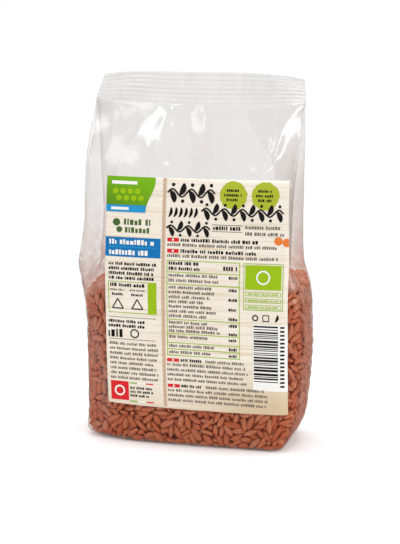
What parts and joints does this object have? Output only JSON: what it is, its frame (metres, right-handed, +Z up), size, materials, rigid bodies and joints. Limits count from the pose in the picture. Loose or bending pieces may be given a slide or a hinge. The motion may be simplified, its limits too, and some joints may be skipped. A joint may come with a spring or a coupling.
{
  "type": "bag of red lentil pasta",
  "caption": "Clear side-gusset film bag of rice-shaped red lentil pasta standing on a block bottom, with a crimped top seal and a paper label on its front.",
  "frame": {"origin": "middle of the base, on the surface that the pack stands on", "axes": "+Z up along the pack's height, -Y out of the labelled front, +X to the right of someone who looks at the front"},
  "size_m": [0.1178, 0.0556, 0.1849],
  "materials": {
    "filled_film": "clear glossy film with red-brown pasta grains behind it",
    "film": "clear, slightly hazy glossy film",
    "pasta": "dry matt pasta, red-brown",
    "label_paper": "coated paper printed with pale wood grain",
    "label_print": "flat printed ink in plain fields and bars"
  },
  "bodies": {
    "root": {"bag": "filled_film", "label": "label_paper"}
  },
  "joints": []
}
